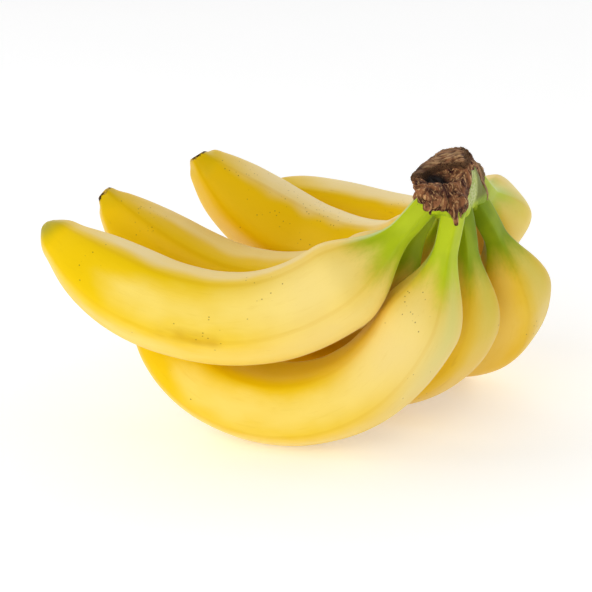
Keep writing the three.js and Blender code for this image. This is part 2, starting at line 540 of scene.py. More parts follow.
    def _yellow(self, bench: Bench, mottle: Any, streaks: Any, deepness_and_shade: float) -> Any:
        """Colours the peel from its pale painted highlight to golden, with painted sheen and painted shade.

        Args:
            bench: The material's bench.
            mottle: The soft pattern.
            streaks: The fine pattern along the finger.
            deepness_and_shade: How golden it is, which on the less lit fingers stands for painted shade.

        Returns:
            The colour.
        """
        # Painted highlight: pale yellow where ripe_not_highlit is low.
        ripe_not_highlit = bench.add(bench.note("ripe_not_highlit"), bench.band(mottle, self.ripe_mottle))
        colour = bench.blend(bench.band(ripe_not_highlit, WHOLE), self.highlight_pale_yellow, self.yellow)
        # Deeper golden, which on the less lit fingers is painted shade.
        colour = bench.blend(deepness_and_shade, colour, self.golden)
        # Painted sheen on the upward inner side, and painted highlight on the shoulder.
        sheen_cream = bench.times(bench.note("sheen_cream"), bench.band(mottle, self.cream_mottle))
        colour = bench.blend(sheen_cream, colour, self.sheen_cream)
        colour = bench.blend(bench.band(streaks, self.golden_streaks), colour, self.golden)
        colour = bench.blend(bench.note("tinge"), colour, self.pale_green)
        return bench.blend(bench.band(bench.note("ridge"), self.golden_ridges), colour, self.golden)

    def _greened(self, bench: Bench, colour: Any, mottle: Any, streaks: Any, leafiness: float) -> Any:
        """Colours the neck green and the tip olive.

        Args:
            bench: The material's bench.
            colour: The colour of the rest.
            mottle: The soft pattern.
            streaks: The fine pattern along the finger.
            leafiness: How deep the green is.

        Returns:
            The colour.
        """
        ragged = bench.add(bench.note("green"), bench.band(streaks, self.green_streaks))
        leafy = bench.add(leafiness, bench.band(mottle, self.leafy_mottle))
        leafy = bench.blend(leafy, self.green, self.deep_green)
        colour = bench.blend(bench.band(ragged, WHOLE), colour, leafy)
        olive = bench.times(bench.note("olive"), bench.band(mottle, self.olive_mottle))
        return bench.blend(olive, colour, self.olive)

    def _freckles(self, bench: Bench, place: Any, seed: float) -> Any:
        """Scatters small brown dots, more of them where the mesh notes it.

        Args:
            bench: The material's bench.
            place: The place on the finger.
            seed: Shifts the dots.

        Returns:
            How brown each point is.
        """
        away, draw = bench.cells(place, self.dots, seed)
        chosen = bench.combine("GREATER_THAN", draw, bench.band(bench.note("freckled"), self.clear_share))
        return bench.times(bench.band(away, self.dot_edge), chosen)

    def _scuffs(self, bench: Bench, place: Any, seed: float) -> Any:
        """Draws a few faint long marks where the fruit was rubbed, and more where the mesh notes it.

        Args:
            bench: The material's bench.
            place: The place on the finger.
            seed: Shifts the marks.

        Returns:
            How marked each point is.
        """
        rubs = bench.cloud(place, self.rubs, seed)
        patches = bench.cloud(place, self.rub_patches, seed)
        strewn = bench.times(bench.band(rubs, self.rub_edge), bench.band(patches, self.rub_patch_edge))
        noted = bench.times(bench.note("scuffed"), bench.band(rubs, self.rub_where_noted))
        return bench.times(bench.combine("MAXIMUM", strewn, noted), self.rub_strength)


@dataclass(frozen=True)
class CrownFinish:
    """Dried brown stalk tissue over green.

    Its mesh notes for each point: grain (the point with the grain along its first axis, in metres),
    dry, hollow, crease, flaky, olive, bark and weathered (each 0 to 1). Hollow and crease are painted
    shade: black in its deepest hollow and between its wrinkles, with the near end of its bark darker.
    """

    brown: Colour = paint("95603c")
    dark: Colour = paint("421c12")
    tan: Colour = paint("d8a870")
    purple: Colour = paint("5d363a")
    # the dark specks, and painted shade in the creases and the deepest hollow
    black: Colour = paint("120804")
    green: Colour = paint("b4c61a")
    deep_green: Colour = paint("8aa40c")
    olive: Colour = paint("6e7400")
    flake: Colour = paint("c4c88a")
    grey: Colour = paint("b89468")

    # Its random patterns.
    fibres: Pattern = Pattern(1100.0, 3.0, 0.65, along=0.16)
    patches: Pattern = Pattern(170.0, 3.0, 0.6)
    specks: Pattern = Pattern(900.0, 2.0, 0.6)

    # How the dried tissue follows them.
    brown_patches: Ramp = Ramp(0.38, 0.6)
    tan_fibres: Ramp = Ramp(0.5, 0.66, 0.0, 0.9)
    black_specks: Ramp = Ramp(0.6, 0.7, 0.0, 0.7)
    bark_fibres: Ramp = Ramp(0.42, 0.58, 0.15, 0.75)
    bark_patches: Ramp = Ramp(0.4, 0.62, 0.35, 1.0)
    weathered_patches: Ramp = Ramp(0.35, 0.55, 0.45, 0.85)
    # painted shade: how black the creases are painted
    crease_shade_strength: float = 0.75

    # Its torn edge, with a purple rim, and the green below it.
    ragged_specks: Ramp = Ramp(0.3, 0.7, -0.15, 0.15)
    dry_edge: Ramp = Ramp(0.4, 0.55)
    rim_start: Ramp = Ramp(0.35, 0.5)
    rim_end: Ramp = Ramp(0.95, 0.6)
    rim_strength: float = 0.7
    green_patches: Ramp = Ramp(0.4, 0.6)
    flake_specks: Ramp = Ramp(0.35, 0.6, 0.15, 1.0)

    # Its shine and its relief.
    roughness: Ramp = Ramp(0.0, 1.0, 0.5, 0.75)
    gloss: float = 0.2
    fibre_height: Ramp = Ramp(0.0, 1.0, 0.3, 1.0)
    fibre_relief: Relief = Relief(0.0006)
    speck_relief: Relief = Relief(0.0003, 0.6)

    def material(self, name: str) -> bpy.types.Material:
        """Makes the crown's finish.

        Args:
            name: The material's name.

        Returns:
            The material.
        """
        bench = Bench(name)
        grain = bench.note("grain", vector=True)
        fibres = bench.cloud(grain, self.fibres)
        patches = bench.cloud(grain, self.patches)
        specks = bench.cloud(grain, self.specks)

        edge = bench.add(bench.note("dry"), bench.band(specks, self.ragged_specks))
        rim = bench.times(bench.band(edge, self.rim_start), bench.band(edge, self.rim_end))
        dried = self._dried(bench, fibres, patches, specks)
        dried = bench.blend(bench.times(rim, self.rim_strength), dried, self.purple)
        is_dry = bench.band(edge, self.dry_edge)

        skin = bench.relief(bench.times(fibres, bench.band(is_dry, self.fibre_height)), self.fibre_relief)
        skin = bench.relief(specks, self.speck_relief, skin)
        bench.finish(
            {
                "Base Color": bench.blend(is_dry, self._living(bench, patches, specks), dried),
                "Roughness": bench.band(is_dry, self.roughness),
                "Specular IOR Level": self.gloss,
                "Normal": skin,
            }
        )
        return bench.material

    def _dried(self, bench: Bench, fibres: Any, patches: Any, specks: Any) -> Any:
        """Colours the dried tissue, with painted shade in its creases and its deepest hollow.

        Args:
            bench: The material's bench.
            fibres: The pattern along the grain.
            patches: The coarse pattern.
            specks: The fine pattern.

        Returns:
            The colour.
        """
        dried = bench.blend(bench.band(patches, self.brown_patches), self.dark, self.brown)
        dried = bench.blend(bench.band(fibres, self.tan_fibres), dried, self.tan)
        dried = bench.blend(bench.band(specks, self.black_specks), dried, self.black)
        barky = bench.times(bench.note("bark"), bench.band(fibres, self.bark_fibres))
        dried = bench.blend(bench.times(barky, bench.band(patches, self.bark_patches)), dried, self.grey)
        weathered = bench.times(bench.note("weathered"), bench.band(patches, self.weathered_patches))
        dried = bench.blend(weathered, dried, self.grey)
        # Painted shade: black in the creases, and the near end of the bark darker.
        dried = bench.blend(bench.times(bench.note("crease"), self.crease_shade_strength), dried, self.black)
        # Painted shade: black in the deepest hollow.
        return bench.blend(bench.note("hollow"), dried, self.black)

    def _living(self, bench: Bench, patches: Any, specks: Any) -> Any:
        """Colours the green tissue, with its olive end and its flakes.

        Args:
            bench: The material's bench.
            patches: The coarse pattern.
            specks: The fine pattern.

        Returns:
            The colour.
        """
        living = bench.blend(bench.band(patches, self.green_patches), self.green, self.deep_green)
        living = bench.blend(bench.note("olive"), living, self.olive)
        flakes = bench.times(bench.note("flaky"), bench.band(specks, self.flake_specks))
        return bench.blend(flakes, living, self.flake)


@dataclass(frozen=True)
class TableFinish:
    """Plain white table, hardly shiny, lit a little from below."""

    bright: Colour = (0.90, 0.90, 0.90, 1.0)
    shade: Colour = (0.88, 0.88, 0.88, 1.0)
    cloudiness: Pattern = Pattern(6.0)
    glow: float = 0.31
    roughness: float = 0.7
    gloss: float = 0.2

    def material(self, name: str) -> bpy.types.Material:
        """Makes the table's finish.

        Args:
            name: The material's name.

        Returns:
            The material.
        """
        bench = Bench(name)
        clouds = bench.cloud(bench.where("Object"), self.cloudiness)
        bench.finish(
            {
                "Base Color": bench.blend(clouds, self.bright, self.shade),
                "Emission Color": WHITE,
                "Emission Strength": self.glow,
                "Roughness": self.roughness,
                "Specular IOR Level": self.gloss,
            }
        )
        return bench.material


# ------------------------------------------------------------------------------ fingers


class TipStyle(Enum):
    """What is left of the flower at a finger's end.

    Its values say, in millimetres, how much the finger swells and is pinched in before its end, and
    how deep the end is sunk, or raised where that is negative.
    """

    WORN = (1.2, 0.0, -1.2)
    BLUNT = (0.5, 0.3, 0.4)
    STUB = (0.0, 0.4, 1.1)
    BROAD = (0.6, 0.4, 0.9)


@dataclass(frozen=True)
class Mark:
    """A spot that fades outwards: its distance from the root, its angle, its size and strength."""

    distance: float
    angle: float
    size: float
    strength: float = 1.0

    def spread(self, far: Array, turn: Array, reach: Array) -> Array:
        """Gives how strong it is at distances from the root, at angles and at radii."""
        sideways = reach * turned_from(turn, math.radians(self.angle))
        return self.strength * bell(np.hypot(far - self.distance, sideways), 0.0, self.size)


@dataclass(frozen=True)
class Tinge:
    """A pale green side of a finger: where round it, how wide, how far it runs and how strong."""

    angle: float = 0.0
    width: float = 30.0
    run: float = 60.0
    strength: float = 0.0
    full_share: float = 0.3

    def spread(self, far: Array, turn: Array) -> Array:
        """Gives how strong it is at distances from the root and at angles."""
        sideways = bell(turned_from(turn, math.radians(self.angle)), 0.0, math.radians(self.width))
        return self.strength * sideways * smooth_step(self.run, self.full_share * self.run, far)


@dataclass
class Finger:
    """One banana: its neck, body and dried tip, in millimetres and degrees.

    It sets off from its root in a heading, with a dip and rolled about itself. Its bend says how
    sharply it bends at its shoulder, belly and end, over a whole length, and its sweep how far it
    turns sideways. Angles round it start at the outside of its bend. Its deepness_and_shade, leafiness,
    olive and sheen_cream are shares of a colour, 0 to 1; deepness_and_shade stands for painted shade
    on the less lit fingers, and sheen_cream is painted sheen. A span holds where something sets in and
    where it is full, and a place holds where it is strongest and how wide it is.
    """

    name: str
    root: tuple[float, float, float]
    heading: float
    dip: float
    roll: float
    ridge_turn: float
    length: float
    bend: tuple[float, float, float]
    sweep: float
    radius: float
    neck: float
    resting: bool = False
    root_sag: float = 0.0
    tip: TipStyle = TipStyle.WORN
    tip_slant: tuple[float, float] = (0.0, 0.0)
    seed: int = 0
    # how golden the yellow is; on outer_2 and outer_3 it stands for painted shade
    deepness_and_shade: float = 0.1
    leafiness: float = 0.6
    green_length: float = 24.0
    ridge_green: tuple[float, ...] = (5.0, 5.0, 5.0, 5.0, 5.0)
    tip_olive: float = 0.4
    dry_end: float = 1.2
    # how much painted sheen the upward inner side has, and from which angle round it
    sheen_cream: float = 0.0
    cream_from: float = 180.0
    # how strong the painted highlight on the shoulder is
    shoulder_highlight_cream: float = 0.0
    ripe_length: float = 90.0
    marks: tuple[Mark, ...] = ()
    scuffs: tuple[Mark, ...] = ()
    tinge: Tinge = Tinge()

    # The shape that all the fingers share.
    neck_radius: float = 5.0
    shoulder: float = 36.0
    tip_length: float = 56.0
    tip_radius: float = 3.0
    tip_roundness: float = 2.3
    tip_bluntness: float = 0.85
    root_depth: float = 3.0
    bend_at: tuple[float, ...] = (0, 0.22, 0.38, 0.68, 1)
    neck_bend_share: float = 0.55
    tip_bend_share: float = 0.65
    ridges: int = 5
    neck_sharpness: float = 8.0
    belly_sharpness: float = 5.5
    sag_span: Span = (40.0, 6.0)

    # The end: how far before it things lie, how wide they are, and the rings of its sunk face.
    swell_place: tuple[float, float] = (5.0, 4.5)
    pinch_place: tuple[float, float] = (3.4, 1.9)
    rim_place: tuple[float, float] = (0.0, 1.3)
    rim_share: float = 0.45
    slant_length: float = 6.0
    face_rings: tuple[tuple[float, float], ...] = ((0.8, 0.4), (0.5, 0.85), (0.22, 1.0))

    # The unevenness of the skin.
    calm_end: float = 14.0
    lumps: Ripple = Ripple(0.22, 14.0)
    ridge_line: float = 0.28
    ridge_line_width: float = 5.0
    ridge_steadiness: float = 0.6
    ridge_waver: Ripple = Ripple(0.4, 16.0, 40, along=0.5)
    rag_length: float = 2.2
    end_rag: Ripple = Ripple(0.35, 1.6, 80)

    # How the colours run, with the painted highlight, painted shade and painted sheen.
    wide_ridge: float = 24.0
    green_fade: float = 18.0
    green_waver: Ripple = Ripple(2.0, 14.0, 120, along=0.6)
    olive_span: Span = (9.5, 0.5)
    olive_waver: Ripple = Ripple(3.0, 9.0, 160)
    dry_fade: float = 1.2
    dry_waver: Ripple = Ripple(0.8, 1.5, 200)
    ripeness: float = 0.2
    ripe_full_share: float = 1 / 3
    # the painted highlight stays off the ridges, which are partly deeper yellow of their own and partly in
    # painted shade
    ridges_less_highlit: float = 0.55
    # painted shade: the inward side, where the fingers shade each other, is kept deeper yellow without the
    # painted highlight
    shaded_inside: float = 0.65
    inside_span: Span = (0.45, 0.85)
    ripe_waver: Ripple = Ripple(0.2, 18.0, 240, along=0.5)
    # painted highlight: how much paler the shoulder is, and where
    shoulder_highlight_paleness: float = 0.3
    shoulder_highlight_place: tuple[float, float] = (55.0, 18.0)
    # where the painted sheen lies on the upward inner side, and the painted highlight on the shoulder
    cream_waver: Ripple = Ripple(9.0, 16.0, 280)
    cream_edges: tuple[Span, Span] = ((-8.0, 14.0), (125.0, 100.0))
    cream_neck_span: Span = (32.0, 66.0)
    cream_tip_span: Span = (2.0, 34.0)
    shoulder_place: tuple[float, float] = (58.0, 28.0)
    shoulder_span: Span = (0.9, 0.6)
    freckled: float = 0.05
    freckle_span: Span = (10.0, 30.0)

    # Fineness of the mesh.
    sides: int = 100
    rings: int = 168
    crowding: float = 1.25
    walk_steps: int = 3000

    def start_directions(self) -> tuple[Array, Array, Array]:
        """Works out how the finger sets off.

        Returns:
            The direction it sets off in, the direction to the inside of its bend, and the side.
        """
        heading, dip, roll = (math.radians(a) for a in (self.heading, self.dip, self.roll))
        level_part = np.array([math.cos(heading), math.sin(heading), 0.0])
        start = math.cos(dip) * level_part - math.sin(dip) * np.array([0.0, 0.0, 1.0])
        level = unit(np.cross(start, [-1.0, 0.0, 0.0]))
        upright = np.cross(level, start)
        inside = upright * math.cos(roll) + np.cross(start, upright) * math.sin(roll)
        return start, inside, np.cross(start, inside)

    def stations(self) -> tuple[Array, Array, Array, Array]:
        """Walks along the middle of the finger from inside the crown to the tip.

        Returns:
            For each ring: the distance from the root, its middle, the direction along and the
            direction to the inside of the bend.
        """
        start, inside, side = self.start_directions()
        shoulder, belly, end = self.bend
        rates = [self.neck_bend_share * shoulder, shoulder, belly, end, self.tip_bend_share * end]
        shares = np.linspace(0, 1, self.walk_steps + 1)
        middles = (shares[1:] + shares[:-1]) / 2
        turn = np.radians(np.interp(middles, self.bend_at, rates)) / self.walk_steps
        bends = np.concatenate([[0.0], np.cumsum(turn)])
        middle_bends = (bends[1:] + bends[:-1]) / 2

        def along_at(bend: Array, share: Array) -> Array:
            """Gives the direction along the finger after a bend, at a share of its length.

            Args:
                bend: How far it has bent so far, in radians.
                share: Shares of its length.

            Returns:
                The directions as rows.
            """
            turned = np.outer(np.cos(bend), start) + np.outer(np.sin(bend), inside)
            sweep = np.radians(self.sweep) * (share - 0.5)
            return turned * np.cos(sweep)[:, None] + np.outer(np.sin(sweep), side)

        steps = along_at(middle_bends, middles) * self.length / self.walk_steps
        walked = np.vstack([np.zeros(3), np.cumsum(steps, axis=0)]) + np.array(self.root)

        ring_shares = 1 - (1 - np.linspace(0, 1, self.rings)) ** self.crowding
        ring_bends = np.interp(ring_shares, shares, bends)
        points = np.column_stack([np.interp(ring_shares, shares, walked[:, k]) for k in range(3)])
        along = along_at(ring_bends, ring_shares)
        inward = np.outer(-np.sin(ring_bends), start) + np.outer(np.cos(ring_bends), inside)
        buried = points[0] - self.root_depth * along[0]
        return (
            np.concatenate([[-self.root_depth], ring_shares * self.length]),
            np.vstack([buried, points]),
            np.vstack([along[0], along]),
            np.vstack([inward[0], inward]),
        )

    def widening(self, distance: Array) -> Array:
        """Gives how far the neck has widened into the body, 0 to 1."""
        return smooth_step(self.neck, self.neck + self.shoulder, distance)

    def radius_at(self, distance: Array) -> Array:
        """Gives the finger's radius at a distance from the root, with the stub at its end.

        Args:
            distance: Distances from the root.

        Returns:
            The radius at each, before ridges and unevenness.
        """
        full = self.neck_radius + (self.radius - self.neck_radius) * self.widening(distance)
        from_end = self.length - distance
        to_tip = np.clip(from_end / self.tip_length, 0, 1)
        narrowing = (1 - (1 - to_tip) ** self.tip_roundness) ** self.tip_bluntness
        plain = self.tip_radius + (full - self.tip_radius) * narrowing
        swell, pinch, _ = self.tip.value
        plain = plain + swell * bell(from_end, *self.swell_place)
        plain = plain - pinch * bell(from_end, *self.pinch_place)
        return plain + self.rim_share * pinch * bell(from_end, *self.rim_place)

    def section(self, angle: Array, sharpness: Array) -> Array:
        """Gives the five-sided section's radius, as a share of its middle one.

        Args:
            angle: Round the finger from the outside of its bend, in radians.
            sharpness: How sharp its ridges are.

        Returns:
            The radius for each pair.
        """
        pitch = 2 * math.pi / self.ridges
        angle = angle - math.radians(self.ridge_turn)
        total = sum(
            np.maximum(np.cos(angle - (side + 0.5) * pitch), 0) ** sharpness
            for side in range(self.ridges)
        )
        ridge = 2 ** (-1 / sharpness) / math.cos(pitch / 2)
        return total ** (-1 / sharpness) / ((1 + ridge) / 2)

    def ridge_closeness(self, angle: Array, width: float) -> Array:
        """Gives how close an angle is to each ridge, 0 to 1, with one column for each ridge."""
        turns = math.radians(self.ridge_turn) + np.arange(self.ridges) * 2 * math.pi / self.ridges
        return bell(np.degrees(turned_from(angle[..., None], turns)), 0.0, width)

    def straightened(self, far: Array, turn: Array, reach: Array) -> Array:
        """Gives the skin's points as they would lie if the finger were straight."""
        return np.stack([far, reach * np.cos(turn), reach * np.sin(turn)], axis=-1)

    def reach_at(self, far: Array, turn: Array) -> Array:
        """Gives how far the uneven skin is from the finger's middle line.

        Args:
            far: Distances from the root.
            turn: Angles round the finger, in radians.

        Returns:
            The radius for each pair.
        """
        sharpness = self.neck_sharpness + (self.belly_sharpness - self.neck_sharpness) * self.widening(far)
        reach = self.radius_at(far) * self.section(turn, sharpness)
        straight = self.straightened(far, turn, reach)
        ridge = self.ridge_closeness(turn, self.ridge_line_width).max(axis=-1)
        waver = self.ridge_steadiness + self.ridge_waver.at(straight, self.seed)
        calm = smooth_step(0, self.calm_end, self.length - far)
        reach = reach + calm * (self.lumps.at(straight, self.seed) + self.ridge_line * ridge * waver)
        rag = smooth_step(self.rag_length, 0.0, self.length - far)
        return reach + rag * self.end_rag.at(straight, self.seed)

    def build(self) -> bpy.types.Object:
        """Makes the finger's mesh with what its finish reads.

        Returns:
            The finger, in the frame.
        """
        distance, middle, along, inward = self.stations()
        side = unit(np.cross(inward, along))
        outward = np.cross(side, along)
        angle = np.arange(self.sides) / self.sides * 2 * math.pi
        far, turn = np.meshgrid(distance, angle, indexing="ij")
        reach = self.reach_at(far, turn)

        out, sideways = reach * np.cos(turn), reach * np.sin(turn)
        places = middle[:, None] + out[..., None] * outward[:, None] + sideways[..., None] * side[:, None]
        places[..., 2] -= self.root_sag * smooth_step(*self.sag_span, far)
        slant = self.tip_slant[0] * out + self.tip_slant[1] * sideways
        slant = slant * smooth_step(self.slant_length, 0, self.length - far)
        places = places + slant[..., None] * along[:, None]

        sunk = self.tip.value[-1]
        centre = places[-1].mean(axis=0)
        face = [centre + (places[-1] - centre) * share - along[-1] * depth * sunk
                for share, depth in self.face_rings]
        grid = np.concatenate([places, face])
        if self.resting:
            grid[..., 2] = np.maximum(grid[..., 2], 0.0)
        corners, faces = self._closed(grid)
        return make_piece(self.name + "_peel", corners, faces, self._notes(far, turn, reach))

    def _closed(self, grid: Array) -> tuple[Array, Array]:
        """Closes the rings at both ends.

        Args:
            grid: The rings' points, with those of the end face last.

        Returns:
            The corners in the frame, with the middles of both ends last, and the faces.
        """
        count, sides = grid.shape[:2]
        ends = np.stack([grid[0].mean(axis=0), grid[-1].mean(axis=0)])
        corners = to_frame(np.concatenate([grid.reshape(-1, 3), ends]))

        row = (np.arange(count - 1) * sides)[:, None]
        here = np.arange(sides)
        after = (here + 1) % sides
        quads = np.stack([row + here, row + after, row + sides + after, row + sides + here], axis=-1)
        first, last, top = count * sides, count * sides + 1, (count - 1) * sides
        near_cap = np.stack([np.full(sides, first), after, here, here], axis=-1)
        far_cap = np.stack([np.full(sides, last), top + here, top + after, top + after], axis=-1)
        return corners, np.concatenate([quads.reshape(-1, 4), near_cap, far_cap])

    def _notes(self, far: Array, turn: Array, reach: Array) -> dict[str, Array]:
        """Works out what the finish reads at every corner of the closed mesh.

        Args:
            far: The distance from the root of each point of the rings.
            turn: The angle of each of them.
            reach: The radius at each of them.

        Returns:
            The values under their names, for the corners in the order of the mesh.
        """
        straight = self.straightened(far, turn, reach)
        noted = {
            "place": straight * MM,
            "ripe_not_highlit": self._ripe_not_highlit(straight, far, turn),
            "green": self._green(straight, far, turn),
            "olive": self._olive(straight, far),
            "dry": self._dry(straight, far),
            "freckled": self._freckled(far, turn, reach),
            "scuffed": self._strewn(self.scuffs, far, turn, reach),
            "sheen_cream": self._sheen_cream(straight, far, turn),
            "tinge": self.tinge.spread(far, turn),
            "ridge": self.ridge_closeness(turn, self.ridge_line_width).max(axis=-1),
        }
        on_face = {"dry": float(self.dry_end > 0), "freckled": 0.0, "scuffed": 0.0, "sheen_cream": 0.0}
        return {key: self._spread(values, on_face.get(key)) for key, values in noted.items()}

    def _spread(self, values: Array, on_face: Optional[float]) -> Array:
        """Spreads values on the rings to every corner of the closed mesh.

        Args:
            values: One or three for each point of the rings.
            on_face: What the end face has, where it isn't what the last ring has.

        Returns:
            The values for the corners, with the middles of both ends last.
        """
        last = values[-1:] if on_face is None else np.full_like(values[-1:], on_face)
        spread = np.concatenate([values, np.repeat(last, len(self.face_rings), axis=0)])
        width = spread[0, 0].size
        spread = spread.reshape(-1, width)
        ends = [spread[: self.sides].mean(axis=0), spread[-self.sides :].mean(axis=0)]
        spread = np.concatenate([spread, ends])
        return spread[:, 0] if width == 1 else spread

    def _strewn(self, marks: Sequence[Mark], far: Array, turn: Array, reach: Array) -> Array:
        """Gives how strong several marks are together."""
        return sum((mark.spread(far, turn, reach) for mark in marks), np.zeros_like(far))

    def _ripe_not_highlit(self, straight: Array, far: Array, turn: Array) -> Array:
        """Gives how deep the yellow is against the pale painted highlight: deeper towards the tip, on the
        ridges and on the inward side, where the fingers shade each other, and paler at the shoulder, where
        the highlight is painted.

        Args:
            straight: The points as if the finger were straight.
            far: Their distances from the root.
            turn: Their angles.

        Returns:
            How deep the yellow is at each point.
        """
        full = self.ripe_full_share * self.ripe_length
        ripe_not_highlit = self.ripeness + smooth_step(self.ripe_length, full, self.length - far)
        # Painted highlight: paler at the shoulder.
        ripe_not_highlit = ripe_not_highlit - self.shoulder_highlight_paleness * bell(far, *self.shoulder_highlight_place)
        # The painted highlight stays off the ridges, which are partly deeper yellow of their own and partly
        # in painted shade.
        ripe_not_highlit = ripe_not_highlit + self.ridges_less_highlit * self.ridge_closeness(turn, self.wide_ridge).max(axis=-1)
        # Painted shade: deeper yellow on the inward side, where the fingers shade each other.
        ripe_not_highlit = ripe_not_highlit + self.shaded_inside * smooth_step(*self.inside_span, -np.cos(turn))
        return ripe_not_highlit + self.ripe_waver.at(straight, self.seed)

    def _green(self, straight: Array, far: Array, turn: Array) -> Array:
        """Gives how green the neck is, which reaches further along the ridges.

        Args:
            straight: The points as if the finger were straight.
            far: Their distances from the root.
            turn: Their angles.

        Returns:
            How green each point is.
        """
        green_reach = self.green_length + self.green_waver.at(straight, self.seed)
        green_reach = green_reach + self.ridge_closeness(turn, self.wide_ridge) @ np.array(self.ridge_green)
        return np.clip(0.5 - (far - green_reach) / self.green_fade, 0, 1)

    def _olive(self, straight: Array, far: Array) -> Array:
        """Gives how olive the tip is."""
        from_end = self.length - far + self.olive_waver.at(straight, self.seed)
        return self.tip_olive * smooth_step(*self.olive_span, from_end)

    def _dry(self, straight: Array, far: Array) -> Array:
        """Gives how dry the end is."""
        from_end = self.length - far + self.dry_waver.at(straight, self.seed)
        return smooth_step(self.dry_end, self.dry_end - self.dry_fade, from_end) * (self.dry_end > 0)

    def _sheen_cream(self, straight: Array, far: Array, turn: Array) -> Array:
        """Gives the painted sheen on one flat side, the upward inner one, and the painted highlight on the
        shoulder.

        Args:
            straight: The points as if the finger were straight.
            far: Their distances from the root.
            turn: Their angles.

        Returns:
            How much painted sheen each point has.
        """
        # Painted sheen on the upward inner side.
        edge = np.degrees(turn) - self.cream_from + self.cream_waver.at(straight, self.seed)
        sideways = smooth_step(*self.cream_edges[0], edge) * smooth_step(*self.cream_edges[1], edge)
        from_end = self.length - far
        ends = smooth_step(*self.cream_neck_span, far) * smooth_step(*self.cream_tip_span, from_end)
        # Painted highlight on the shoulder, in the sheen colour.
        shoulder = self.shoulder_highlight_cream * smooth_step(*self.shoulder_span, -np.cos(turn))
        return np.maximum(self.sheen_cream * sideways * ends, shoulder * bell(far, *self.shoulder_place))

    def _freckled(self, far: Array, turn: Array, reach: Array) -> Array:
        """Gives how freckled the body is."""
        body = smooth_step(*self.freckle_span, self.length - far) * self.widening(far)
        return self.freckled * body + self._strewn(self.marks, far, turn, reach)

    def dress(self, piece: bpy.types.Object, finish: PeelFinish) -> None:
        """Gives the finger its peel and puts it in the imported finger's place.

        Args:
            piece: The finger's mesh object.
            finish: The peel.
        """
        piece.data.materials.append(
            finish.material("peel_" + self.name, self.seed * PATTERN_SHIFT, self.deepness_and_shade, self.leafiness)
        )
        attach(piece, BODY)
        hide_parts(self.name)


FINGERS = (
    Finger(
        "finger_inner_1", (47, -20.5, 109), 195, 48, 15, -16, 185, (74, 158, 97), 0, 18.9, 13,
        tip=TipStyle.WORN, seed=1, leafiness=0.3, deepness_and_shade=0.0, green_length=27, tip_olive=0.9, dry_end=0.0,
        sheen_cream=0.9, cream_from=140, shoulder_highlight_cream=0.45, ripe_length=55,
        scuffs=(Mark(98, 54, 3), Mark(104, 56, 3.5), Mark(111, 58, 3.5), Mark(118, 60, 3)),
        marks=(Mark(157, 90, 8, 0.6), Mark(74, 105, 14, 0.4), Mark(100, 60, 12, 0.3)),
    ),
    Finger(
        "finger_inner_2", (49.5, -7.5, 107.5), 131, 66, 23, 6, 189, (152, 118, 142), 0, 18.6, 14,
        tip=TipStyle.STUB, seed=2, deepness_and_shade=0.3, green_length=30, tip_olive=0.3, dry_end=1.7,
        sheen_cream=0.8, cream_from=176, tip_slant=(-0.35, 0.15),
        marks=(Mark(174, 158, 7, 0.9), Mark(166, 160, 9, 0.7)),
    ),
    Finger(
        "finger_inner_3", (56.5, 10, 107), 82, 66, 27, 34, 180, (164, 220, 147), -27, 18.6, 16,
        tip=TipStyle.BROAD, seed=3, deepness_and_shade=0.15, green_length=28, tip_olive=0.3, dry_end=1.4,
        sheen_cream=0.9, cream_from=172, tip_slant=(-0.35, 0.55),
        marks=(Mark(164, 190, 8, 1.0), Mark(140, 184, 14, 0.6), Mark(110, 186, 20, 1.0)),
    ),
    Finger(
        "finger_inner_4", (69, 23, 112), 63, 47, 23, -24, 193, (100, 187, 202), -20, 18.7, 21,
        tip=TipStyle.STUB, seed=4, deepness_and_shade=0.1, leafiness=0.1, green_length=26, tip_olive=0.3,
        sheen_cream=0.9, cream_from=194, root_sag=4.5, tinge=Tinge(330, 46, 62, 0.9),
        marks=(Mark(117, 205, 7, 0.5),),
    ),
    Finger(
        "finger_outer_1", (58.3, -18.5, 105.2), 192, 83, 16, -12, 205, (101, 184, 194), 11, 17.5, 14,
        resting=True, tip=TipStyle.BLUNT, seed=5, leafiness=0.05, deepness_and_shade=0.0, green_length=25,
        ridge_green=(5, 7, 3, 3, 5), tinge=Tinge(24, 28, 84, 0.5), shoulder_highlight_cream=0.6, ripe_length=49,
        marks=(Mark(40, 100, 9, 0.8), Mark(69, 40, 6, 0.5)),
    ),
    # painted shade: outer_2 is painted deeper golden, as it is less lit
    Finger(
        "finger_outer_2", (61, -1, 105.6), 174, 102, 26, -14, 188, (120, 248, 87), -16, 17.6, 22,
        resting=True, tip=TipStyle.STUB, seed=6, leafiness=0.8, deepness_and_shade=0.5, green_length=29,
        ridge_green=(5, 6, 3, 3, 3), tinge=Tinge(8, 32, 75, 0.55),
    ),
    # painted shade: outer_3 is painted deeper golden, as it is less lit
    Finger(
        "finger_outer_3", (69.5, 17.5, 99.8), 201, 118, 37, 32, 185, (109, 223, 198), -15, 17.6, 19,
        resting=True, tip=TipStyle.BLUNT, seed=7, leafiness=0.8, deepness_and_shade=0.4, green_length=28,
        ridge_green=(3, 3, 5, 5, 5), tinge=Tinge(345, 35, 75, 0.4),
        marks=(Mark(63, 22, 5, 0.9),),
    ),
)


# ------------------------------------------------------------------------------ crown


def rounded_or(first: Array, second: Array, blend: float) -> Array:
    """Joins two bodies given by their distances, with a fillet.

    Args:
        first: Distances to the first body, negative inside.
        second: Distances to the second one.
        blend: The size of the fillet.

    Returns:
        Distances to both together.
    """
    share = np.clip(0.5 + 0.5 * (second - first) / blend, 0, 1)
    return second * (1 - share) + first * share - blend * share * (1 - share)


def rounded_and(first: Array, second: Array, blend: float) -> Array:
    """Keeps what two bodies share, with its edge rounded."""
    return -rounded_or(-first, -second, blend)


